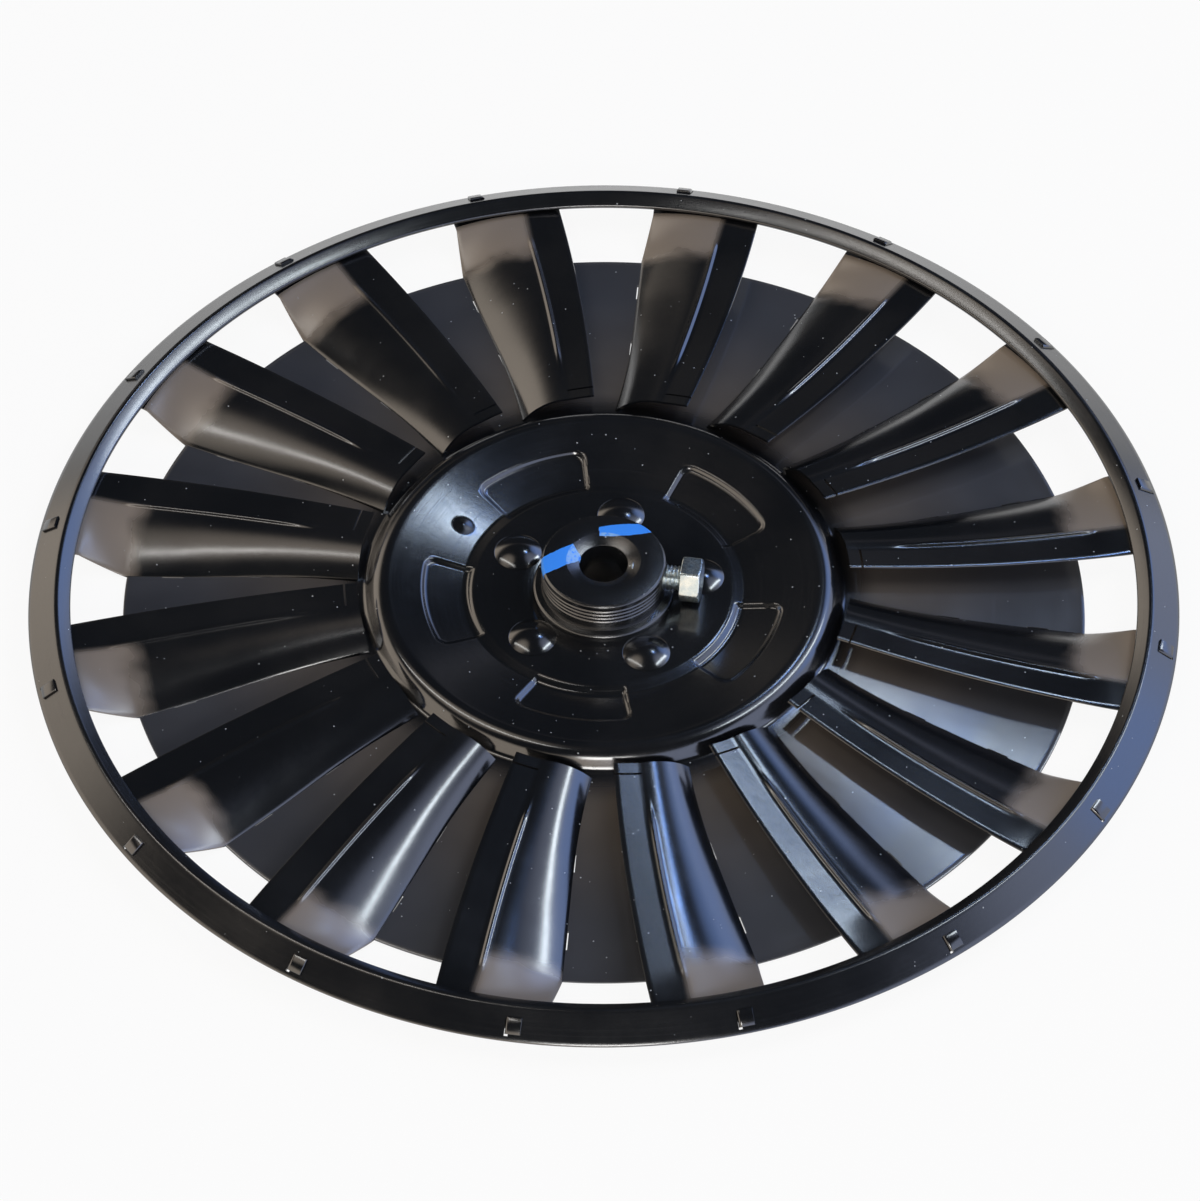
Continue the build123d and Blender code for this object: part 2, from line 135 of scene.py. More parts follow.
def sheet_loop(middle, normal, thickness, round_steps=3):
    """Rows of a closed sheet: the middle surface moved half a thickness along its normal, a half round past
    its last row, the same moved the other way and back, and a half round past its first row."""
    half = thickness / 2
    angles = np.linspace(0, math.pi, round_steps + 2)[1:-1]

    def half_round(row, inner, sign):
        out = middle[row] - middle[inner]
        out = out - (out * normal[row]).sum(-1, keepdims=True) * normal[row]
        out = out / np.maximum(np.linalg.norm(out, axis=-1, keepdims=True), 1e-9)
        return np.stack([middle[row] + half * (sign * math.cos(a) * normal[row] + math.sin(a) * out)
                         for a in angles])

    top = middle + half * normal
    bottom = middle - half * normal
    return np.concatenate([top, half_round(-1, -2, 1), bottom[::-1], half_round(0, 1, -1)])


def quads(rows, columns, close_rows=False, close_columns=False):
    """Corner numbers of a grid's quads, as an array (rows, columns, 4)."""
    i = np.arange(rows if close_rows else rows - 1)[:, None]
    j = np.arange(columns if close_columns else columns - 1)[None, :]
    i2 = (i + 1) % rows
    j2 = (j + 1) % columns
    i, j, i2, j2 = np.broadcast_arrays(i, j, i2, j2)
    return np.stack([i * columns + j, i * columns + j2, i2 * columns + j2, i2 * columns + j], axis=-1)


def placed(name, data, place=None, axes=None):
    """A new object in the scene. With a place, its own axes point along the three axes given."""
    obj = bpy.data.objects.new(name, data)
    if axes:
        obj.matrix_world = Matrix.Translation(place) @ Matrix(axes).transposed().to_4x4()
    bpy.context.scene.collection.objects.link(obj)
    return obj


class Shell:
    """Points and faces of one piece, gathered from several closed surfaces."""

    def __init__(self):
        self.points = []
        self.faces = []
        self.count = 0

    def add(self, points, faces):
        """One closed surface. Its faces are turned over if they enclose a negative volume."""
        points = np.asarray(points, float).reshape(-1, 3)
        lists = [tuple(int(n) for n in f) for f in faces]
        a, b, c = (np.array([f[k] for f in lists]) for k in (0, 1, 2))
        d = np.array([f[-1] for f in lists])
        volume = (points[a] * np.cross(points[b], points[c])).sum()
        volume += (points[a] * np.cross(points[c], points[d])).sum()
        if volume < 0:
            lists = [f[::-1] for f in lists]
        self.faces += [tuple(n + self.count for n in f) for f in lists]
        self.points.append(points)
        self.count += len(points)

    def add_around(self, points, faces, angles):
        """The same closed surface at several angles about Z."""
        for angle in angles:
            self.add(turned_by(points, angle), faces)

    def piece(self, name, material, replaced, sharp_angle=38.0):
        """The Blender object, riding on the part's one body in place of the solids it stands for."""
        mesh = bpy.data.meshes.new(name)
        mesh.from_pydata((np.concatenate(self.points) * MM).tolist(), [], self.faces)
        mesh.polygons.foreach_set("use_smooth", np.ones(len(mesh.polygons), bool))
        mesh.set_sharp_from_angle(angle=math.radians(sharp_angle))
        mesh.materials.append(material)
        mesh.validate()
        mesh.update()
        obj = placed(name, mesh)
        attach(obj, "root")
        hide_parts(replaced)


def full_turn(columns):
    """Even angles once round, in degrees."""
    return np.arange(columns) * 360 / columns


def spun_solid(profile, columns):
    """Points and faces of a solid of revolution whose profile starts and ends on the Z axis."""
    ring = around_axis(profile[1:-1], full_turn(columns))
    rows = len(profile) - 2
    points = np.concatenate([ring.reshape(-1, 3), [[0, 0, profile[0, 1]], [0, 0, profile[-1, 1]]]])
    return points, poled(rows, columns)


def poled(rows, columns):
    """Faces of a grid that is closed round, with triangles from its first and its last row to the two points
    after the grid."""
    j = np.arange(columns)
    j2 = (j + 1) % columns
    first = rows * columns
    top = np.stack([np.full(columns, first), j2, j], axis=-1)
    last = (rows - 1) * columns
    low = np.stack([np.full(columns, first + 1), last + j, last + j2], axis=-1)
    return list(quads(rows, columns, False, True).reshape(-1, 4)) + list(top) + list(low)


def slotted(rows, columns, sheet_rows, slots):
    """Faces of a sheet loop with slots through it. A slot is the sheet's first and last row and first and
    last column that it lies between. Its faces go from both sides, and walls join the sides round it."""
    mesh = quads(rows, columns, True, True)
    keep = np.ones(mesh.shape[:2], bool)
    walls = []
    round_steps = (rows - 2 * sheet_rows) // 2

    def under(i):
        return 2 * sheet_rows + round_steps - 1 - i

    def wall(p, q):
        return [p[0] * columns + p[1], q[0] * columns + q[1],
                under(q[0]) * columns + q[1], under(p[0]) * columns + p[1]]

    for i0, i1, j0, j1 in slots:
        keep[i0:i1, j0:j1] = False
        keep[under(i1):under(i0), j0:j1] = False
        walls += [wall((i + 1, j0), (i, j0)) for i in range(i0, i1)]
        walls += [wall((i, j1), (i + 1, j1)) for i in range(i0, i1)]
        walls += [wall((i0, j), (i0, j + 1)) for j in range(j0, j1)]
        walls += [wall((i1, j + 1), (i1, j)) for j in range(j0, j1)]
    return list(mesh[keep]) + walls


# ---- materials ----
def maths(operation):
    """A method of Wire that adds a Math node of one operation."""
    def method(self, other):
        return self.paint.node("ShaderNodeMath", {"operation": operation}, {0: self, 1: other})
    return method


class Wire:
    """An output socket of a material, with arithmetic that adds Math nodes."""

    __add__ = __radd__ = maths("ADD")
    __sub__ = maths("SUBTRACT")
    __mul__ = __rmul__ = maths("MULTIPLY")
    __truediv__ = maths("DIVIDE")
    __mod__ = maths("FLOORED_MODULO")
    __gt__ = maths("GREATER_THAN")
    __lt__ = maths("LESS_THAN")
    largest = maths("MAXIMUM")

    def __init__(self, paint, socket):
        self.paint = paint
        self.socket = socket

    def __rsub__(self, other):
        return self.paint.node("ShaderNodeMath", {"operation": "SUBTRACT"}, {0: other, 1: self})

    def size(self):
        """Its value without its sign."""
        return self.paint.node("ShaderNodeMath", {"operation": "ABSOLUTE"}, {0: self})

    def ramp(self, low, high):
        """0 below low, 1 above high and a smooth step between."""
        return self.paint.node("ShaderNodeMapRange", {"interpolation_type": "SMOOTHSTEP"},
                               {"Value": self, "From Min": low, "From Max": high})


class Nodes:
    """A node tree under construction, from empty."""

    def __init__(self, tree):
        self.tree = tree
        tree.nodes.clear()

    def node(self, kind, settings=None, inputs=None, output=0):
        """A node with its settings and its sockets' values or links. Returns one of its outputs."""
        node = self.tree.nodes.new(kind)
        for name, value in (settings or {}).items():
            setattr(node, name, value)
        for name, value in (inputs or {}).items():
            if isinstance(value, Wire):
                self.tree.links.new(value.socket, node.inputs[name])
            else:
                node.inputs[name].default_value = value
        return Wire(self, node.outputs[output])

    def mix(self, factor, a, b):
        """Colour a where the factor is 0, b where it is 1."""
        return self.node("ShaderNodeMix", {"data_type": "RGBA"}, {0: factor, 6: a, 7: b}, 2)

    def surface(self, kind, shader):
        """Ends the tree in an output node of the given kind."""
        self.tree.links.new(shader.socket, self.tree.nodes.new(kind).inputs["Surface"])


class Paint(Nodes):
    """A material under construction. Its pattern space is millimetres in the wheel's frame."""

    def __init__(self, name):
        self.material = bpy.data.materials.new(name)
        self.material.use_nodes = True
        super().__init__(self.material.node_tree)
        place = self.node("ShaderNodeTexCoord", {}, {}, "Object")
        scale = (1 / MM, 1 / MM, 1 / MM)
        self.place = self.node("ShaderNodeMapping", {}, {"Vector": place, "Scale": scale})
        self.x, self.y, self.z = (
            self.node("ShaderNodeSeparateXYZ", {}, {"Vector": self.place}, axis) for axis in "XYZ")
        flat = self.node("ShaderNodeCombineXYZ", {}, {"X": self.x, "Y": self.y})
        self.radius = self.node("ShaderNodeVectorMath", {"operation": "LENGTH"}, {0: flat}, "Value")

    def past_foot(self):
        """Anticlockwise angle past a blade's foot, in degrees, from 0 to one sector."""
        angle = self.node("ShaderNodeMath", {"operation": "ARCTAN2"}, {0: self.y, 1: self.x})
        return (angle * math.degrees(1) - FIRST_FOOT) % SECTOR

    def noise(self, scale, detail=2.0, roughness=0.5, place=None):
        """Noise from 0 to 1, its scale in cells per millimetre."""
        return self.node("ShaderNodeTexNoise", {}, {
            "Vector": place or self.place, "Scale": scale, "Detail": detail, "Roughness": roughness}, "Fac")

    def dust(self, cell, radius, share):
        """1 on small specks: within a radius of the middle of a share of a pattern's cells, sizes in mm."""
        spot = {"Vector": self.place, "Scale": 1 / cell}
        near = self.node("ShaderNodeTexVoronoi", {}, spot, "Distance") < radius / cell
        tint = self.node("ShaderNodeTexVoronoi", {}, spot, "Color")
        chosen = self.node("ShaderNodeSeparateColor", {}, {0: tint}, 0) < share
        return near * chosen

    def grooves(self, per_mm, wander=0.02):
        """Fine turned lines: noise that changes with the radius and height and hardly round the axis."""
        lines = self.node("ShaderNodeCombineXYZ", {}, {
            "X": self.radius * per_mm, "Y": self.z * per_mm, "Z": self.noise(wander) * 2.0})
        return self.noise(1.0, 3.0, 0.6, lines)

    def finish(self, fixed, **varied):
        """Ends the material in one Principled shader, with fixed values and varied inputs on its sockets."""
        varied = {name.replace("_", " "): value for name, value in varied.items()}
        shader = self.node("ShaderNodeBsdfPrincipled", {}, {**fixed, **varied})
        self.surface("ShaderNodeOutputMaterial", shader)
        return self.material


def enamel(name, roughness, lines=0.0, paint_strokes=False, painted_reflection=None):
    """Gloss black enamel over steel: a faint orange peel, soft smudges and specks of dust. Lines is the
    height of the turned lines under it, in mm. A painted reflection is a function that gives the share of a
    pale painted reflection that lies on it, the reflection's colour and how much rougher it is."""
    p = Paint(name)
    colours = bpy.context.scene.fan_wheel_colours
    specks = p.dust(cell=5.2, radius=0.30, share=0.30).largest(p.dust(cell=3.1, radius=0.16, share=0.16))
    smudge = p.noise(0.02, 3.0, 0.55).ramp(0.35, 0.7)
    mottle = (p.noise(0.35, 2.0) - 1.0) * 0.04
    colour = p.mix(smudge, (*colours.enamel, 1), (*colours.enamel_worn, 1))
    rough = mottle + smudge * 0.05 + specks * 0.4 + roughness
    if painted_reflection:
        # painted reflection: a pale reflection of the room is mixed over the enamel's colour by its share
        reflection_share, reflection_colour, rougher = painted_reflection(p, colours)
        colour = p.mix(reflection_share, colour, reflection_colour)
        rough = rough + rougher
    dust_opacity = 0.75
    colour = p.mix(specks * dust_opacity, colour, (*colours.dust, 1))
    orange_peel = p.noise(0.28, 2.0) * 0.010
    grit = p.noise(1.6, 1.0) * 0.0012
    height = orange_peel + grit + specks * 0.02
    if lines:
        turned_lines = p.grooves(per_mm=2.6)
        height = height + turned_lines * lines
        rough = rough + turned_lines.ramp(0.45, 0.8) * 0.07
    if paint_strokes:
        coarse_grain = p.noise(2.2, 3.0, 0.7) * 0.045
        height = height + coarse_grain
        colour, rough, height = paint_marks(p, colours, colour, rough, height)
    normal = p.node("ShaderNodeBump", {}, {"Strength": 1.0, "Distance": MM, "Height": height})
    return p.finish({"IOR": colours.enamel_ior}, Base_Color=colour, Roughness=rough, Normal=normal)


def painted_tip_reflection(p, colours):
    """Painted reflection of the pale room on the blades' walls, from the back plate's rim out to the ring,
    its ragged inner edge standing for the back plate's reflected rim.
    """
    # painted reflection: the pale room is reflected past the back plate's rim, with a ragged edge
    ragged_radius = p.radius + (p.noise(0.055, 2.0) - 0.5) * 16.0
    past_rim = ragged_radius.ramp(PLATE_RIM - 7.4, PLATE_RIM + 4.6)
    on_wall = p.past_foot().ramp(SECTOR - 9.4, SECTOR - 8.2)
    inside_ring = p.radius < RING_LIP + 1.4
    share = past_rim * on_wall * inside_ring * 0.95
    return share, (*colours.painted_tip_reflection, 1), share * 0.16


def painted_plate_reflection(p, colours):
    """Painted reflection on the back plate between the blades, no rougher than it: brown by the pan, slate at
    the rim.
    """
    # painted reflection: brown by the pan, slate at the rim, in noisy patches
    tint = p.mix(p.radius.ramp(105.0, 168.0), (*colours.painted_plate_reflection, 1), (*colours.painted_rim_reflection, 1))
    past_pan = p.radius.ramp(PAN_EDGE + 0.6, PAN_EDGE + 14.6)
    patchy = p.noise(0.03, 2.0) * 0.5 + 0.5
    return past_pan * patchy, tint, 0.0


# Brush strokes on the hub's end: start, end, half width, and how much of it the ends lose
BRUSH_STROKES = (((-26.0, -4.4), (-10.0, 5.6), 4.1, 0.1), ((-1.6, 15.4), (18.6, 16.6), 3.0, 0.3))


def paint_marks(p, colours, colour, rough, height):
    """Two brush strokes on the hub's end: bands about two lines, with a noisy edge, thin inside its mouth."""
    edge = (p.noise(0.5, 3.0) - 0.5) * 2.2

    def stroke(start, end, half_width, taper):
        along = np.array(end) - np.array(start)
        length = float(np.hypot(*along))
        ux, uy = (float(part) for part in along / length)
        travel = (p.x - start[0]) * ux + (p.y - start[1]) * uy
        off = ((p.y - start[1]) * ux - (p.x - start[0]) * uy).size()
        from_middle = (travel - length / 2).size() / (length / 2)
        width = half_width * (1.0 - from_middle * from_middle * taper) + edge * 0.35
        return (off < width) * (from_middle * (length / 2) < length / 2 + edge * 0.4)

    first, second = (stroke(*each) for each in BRUSH_STROKES)
    marks = first.largest(second) * (p.z > HUB_TOP - 3.4)
    thin = (p.radius < 14.6) * p.noise(0.9, 2.0).ramp(0.35, 0.55)
    tint = p.mix(thin * 0.7, (*colours.marker, 1), (*colours.marker_worn, 1))
    return p.mix(marks, colour, tint), rough + marks * 0.4, height + marks * 0.05


def zinc(name):
    """Bright zinc plate: a fine crystalline grain and a faint blue cast in patches."""
    p = Paint(name)
    colours = bpy.context.scene.fan_wheel_colours
    patch = p.noise(0.35, 3.0).ramp(0.35, 0.65)
    colour = p.mix(patch, (*colours.zinc, 1), (*colours.zinc_cast, 1))
    grain = p.noise(3.0, 3.0, 0.6)
    normal = p.node("ShaderNodeBump", {}, {"Strength": 1.0, "Distance": MM, "Height": grain * 0.012})
    return p.finish({"Metallic": 1.0}, Base_Color=colour, Roughness=grain * 0.16 + 0.2, Normal=normal)


# ---- properties ----
def colour_setting(name, description, default, **limits):
    """A colour that a user can change."""
    return FloatVectorProperty(name=name, description=description, subtype="COLOR", default=default, **limits)


def number_setting(name, description, default, **limits):
    """A number that a user can change."""
    return FloatProperty(name=name, description=description, default=default, **limits)


class WheelColours(bpy.types.PropertyGroup):
    enamel: colour_setting("Enamel", "Black enamel's colour", (0.0045, 0.005, 0.006))
    enamel_worn: colour_setting("Enamel smudge", "Enamel where it is smudged", (0.0075, 0.0078, 0.0085))
    # painted reflection: the pale room reflected in the blades' outer walls
    painted_tip_reflection: colour_setting("Film on the tips", "Pale film on the blades' outer ends", (0.25, 0.205, 0.162))
    # painted reflection: the room reflected in the back plate, brown by the pan and slate at the rim
    painted_plate_reflection: colour_setting("Film on the plate", "Film on the plate by the pan", (0.125, 0.106, 0.089))
    painted_rim_reflection: colour_setting("Film at the rim", "Film on the plate at its rim", (0.070, 0.071, 0.078))
    dust: colour_setting("Dust", "Dust specks", (0.5, 0.52, 0.52))
    marker: colour_setting("Marker paint", "Brush strokes on the hub's end", (0.0, 0.27, 1.0))
    marker_worn: colour_setting("Thin marker paint", "Marker paint where it is thin", (0.30, 0.55, 0.85))
    zinc: colour_setting("Zinc", "Set screw's plate", (0.66, 0.70, 0.69))
    zinc_cast: colour_setting("Zinc cast", "Zinc's blue patches", (0.50, 0.58, 0.62))
    enamel_ior: number_setting("Enamel index", "Refractive index of the enamel's gloss", 1.95,
                               min=1.0, max=3.0)


class SheetSizes(bpy.types.PropertyGroup):
    sheet: number_setting("Sheet", "Thickness of the plate and ring, in mm", 1.2)
    blade: number_setting("Blade sheet", "Thickness of a blade, in mm", 1.0)
    pad_depth: number_setting("Pad depth", "Depth of the pressed pads, in mm", 1.4)
    pad_wall: number_setting("Pad wall", "Width of a pad's sloping wall, in mm", 1.7)
    dimple_height: number_setting("Dimple", "Height of the locating dimple, in mm", 0.9)
    bead_height: number_setting("Bead", "Height of the bead along a blade's fold, in mm", 0.7)
    wall_bulge: number_setting("Wall bulge", "Rise of a blade's wall over its chord, in mm", 1.9)


class StageSettings(bpy.types.PropertyGroup):
    lens: number_setting("Lens", "Camera's focal length, in mm", 204.3)
    elevation: number_setting("Elevation", "Camera's height angle, in degrees", 48.41)
    roll: number_setting("Roll", "Camera's roll, in degrees", -0.30)
    distance: number_setting("Distance", "From the camera to the ring's centre", 2.663, unit="LENGTH")
    floor: colour_setting("Floor", "Floor's colour", (0.80, 0.76, 0.71))
    floor_lift: number_setting("Floor lift", "Share of white in the floor as the camera sees it", 0.92,
                               min=0.0, max=1.0)
    room_left: colour_setting("Room, left", "Light from low on the left", (1.45, 1.26, 1.06))
    room_right: colour_setting("Room, right", "Light from low on the right", (0.95, 1.08, 1.5))
    room_blue: colour_setting("Blue glow", "Daylight on the right", (0.8, 1.3, 2.8), soft_max=10.0)
    ceiling: colour_setting("Ceiling", "Light from above", (0.022, 0.025, 0.03))
    lamp_power: number_setting("Lamp power", "Power that each lamp has a share of, in watts", 3.0)


# ---- places on the sheets ----
def on_plate(r):
    """Height of the back plate's upper face at a radius, with sharp bends."""
    return np.interp(r, [p[0] for p in PLATE], [p[1] for p in PLATE])


def smooth(x):
    """Smooth step from 0 to 1 as x goes from 0 to 1."""
    x = np.clip(x, 0, 1)
    return x * x * (3 - 2 * x)


def sector_angles(first, lines, steps):
    """Angles round the whole wheel, and how many a blade has: its given lines, and even steps from the last
    to the next blade's first."""
    one = list(lines) + list(np.linspace(lines[-1], lines[0] + SECTOR, steps + 1)[1:-1])
    return np.concatenate([first + k * SECTOR + np.array(one) for k in range(BLADES)]), len(one)


# ---- pieces ----
class WHEEL_OT_back_plate(bpy.types.Operator):
    """Back plate: a height over radius and angle, the bent outline less five sunk pads plus a dimple"""

    bl_idname = "fan_wheel.back_plate"
    bl_label = "Back plate"

    def execute(self, context):
        sizes = context.scene.fan_wheel_sizes
        bend_steps, columns_per_blade = 9, 39
        outline = turned(PLATE, PLATE_BENDS, bend_steps)
        slot_half, low, high = FOOT_SLOT
        radii = self.row_radii([r + side * slot_half for r in FOOT_TABS for side in (-1, 1)])
        angles, per_blade = sector_angles(FIRST_FOOT, (low, high), columns_per_blade)
        r = radii[:, None]
        a = np.radians(angles)[None, :]
        z = np.interp(r, outline[:, 0], outline[:, 1])
        z = z - sizes.pad_depth * self.pad_cover(r, a, sizes.pad_wall)
        z = z + sizes.dimple_height * self.dimple_cover(r, a)
        face = polar(r, a, z)
        normal = grid_normals(face, True)
        normal = normal * np.sign(normal[..., 2:3])
        middle = face - normal * sizes.sheet / 2
        loop = sheet_loop(middle, normal, sizes.sheet)
        cuts = []
        for tab in FOOT_TABS:
            first, last = (int(np.argmin(abs(radii - end))) for end in (tab - slot_half, tab + slot_half))
            cuts += [(first, last, k * per_blade, k * per_blade + 1) for k in range(BLADES)]
        shell = Shell()
        shell.add(loop, slotted(len(loop), len(angles), len(radii), cuts))
        material = enamel("back_plate_enamel", roughness=0.15, lines=0.0006, painted_reflection=painted_plate_reflection)
        shell.piece("pressed_back_plate", material, "backplate")
        return {"FINISHED"}

    @staticmethod
    def row_radii(slot_ends):
        """Radii of the grid's rows: one at each slot's end, close together over the bends and the pads'
        walls, and the last half a sheet inside the rim, as the half round past it takes up the rest."""
        inside = [[27.65, 34, 42, 48.5], np.linspace(49.6, 51.0, 4), [51.9, 52.8, 53.6]]
        pads = [np.linspace(54.2, 55.9, 4), [58.6], np.linspace(59.6, 67.4, 9), [68.6],
                np.linspace(69.6, 71.9, 7), [74, 79, 82.6]]
        shoulder = [np.linspace(83.6, 90.8, 13), np.linspace(91.9, 95, 5)]
        slope = [[99, 109, 121], slot_ends, [150, 157, 161, 165, 180, 186, 187.8]]
        return np.unique(np.round(np.concatenate(inside + pads + shoulder + slope), 3))

    @staticmethod
    def pad_cover(r, a, wall):
        """1 inside a pad and 0 outside, over the wall's width: the distance to a ring sector with round
        corners."""
        inner, outer, half_angle, corner = 52.6, 70.5, 19.0, 4.0
        first, pitch = 43.4, 72.0
        turn = (np.degrees(a) - first + pitch / 2) % pitch - pitch / 2
        out = r - outer
        side = np.radians(abs(turn) - half_angle) * r
        q_out = out + corner
        q_side = side + corner
        rounded = np.hypot(np.maximum(q_out, 0), np.maximum(q_side, 0)) - corner
        distance = np.where((q_out > 0) & (q_side > 0), rounded, np.maximum(out, side))
        distance = np.maximum(distance, inner - r)
        return smooth(0.5 - distance / wall)

    @staticmethod
    def dimple_cover(r, a):
        """1 at the middle of the dimple, falling smoothly to 0 at its edge."""
        middle_r, angle, edge = 63.5, math.radians(150.0), 4.5
        dx = r * np.cos(a) - middle_r * math.cos(angle)
        dy = r * np.sin(a) - middle_r * math.sin(angle)
        return smooth(1 - np.hypot(dx, dy) / edge)


class WHEEL_OT_front_ring(bpy.types.Operator):
    """Front ring: a sheet's middle line, folded back under the lip and bent at the crest, carried round Z"""

    bl_idname = "fan_wheel.front_ring"
    bl_label = "Front ring"

    def execute(self, context):
        sizes = context.scene.fan_wheel_sizes
        slot_half_width, columns_per_blade = 0.75, 43
        path, first = self.middle_line(sizes.sheet / 2)
        tangent = np.gradient(path, axis=0)
        tangent /= np.linalg.norm(tangent, axis=1, keepdims=True)
        slot_half = math.degrees(slot_half_width / RING[2][0])
        first_tab = FIRST_FOOT + RING_TAB[2]
        angles, per_blade = sector_angles(first_tab, (-slot_half, slot_half), columns_per_blade)
        middle = around_axis(path, angles)
        across = np.stack([-tangent[:, 1], tangent[:, 0]], axis=1)
        normal = around_axis(across, angles)
        loop = sheet_loop(middle, normal, sizes.sheet)
        cuts = [(first, first + 3, k * per_blade, k * per_blade + 1) for k in range(BLADES)]
        shell = Shell()
        shell.add(loop, slotted(len(loop), len(angles), len(path), cuts))
        material = enamel("ring_enamel", roughness=0.20, lines=0.0016)
        shell.piece("hemmed_front_ring", material, "front_ring")
        return {"FINISHED"}

    @staticmethod
    def middle_line(half):
        """The sheet's middle line, from the hem's end to the rim, for half its thickness, and the row where
        the tabs' slots start. They end three rows further."""
        hem_width, crest_bend, slot_margin = 2.2, 1.6, 0.25
        lip, crest, rim = (np.array(p) for p in RING)
        up, down = unit(crest - lip), unit(rim - crest)
        n_up, n_down = left_of(up), left_of(down)
        bisector = unit(n_up + n_down)
        crest_mid = crest - bisector * half / float(bisector @ n_up)
        lip_mid = lip - n_up * half + up * 2 * half
        hem = [lip_mid + up * hem_width - n_up * 2 * half, lip_mid - n_up * 2 * half]
        fold = [lip_mid - n_up * half + half * (-math.sin(t) * up - math.cos(t) * n_up)
                for t in np.linspace(0.2, math.pi - 0.2, 8)]
        over = turned([lip_mid, crest_mid, rim - n_down * half - down * half], [crest_bend], 10)
        skirt = over[-1] - over[-2]
        slot_radii = (RING_TAB[0] - slot_margin, RING_TAB[1] + slot_margin)
        slot_ends = [(r - over[-2][0]) / skirt[0] for r in slot_radii]
        before_slot = [0.06, 0.16]
        tail = [over[-2] + skirt * t for t in before_slot + list(np.linspace(*slot_ends, 4))] + [over[-1]]
        path = np.array([hem[0], (hem[0] + hem[1]) / 2, hem[1]] + fold + list(over[:-1]) + tail)
        return path, len(path) - len(tail) + len(before_slot)


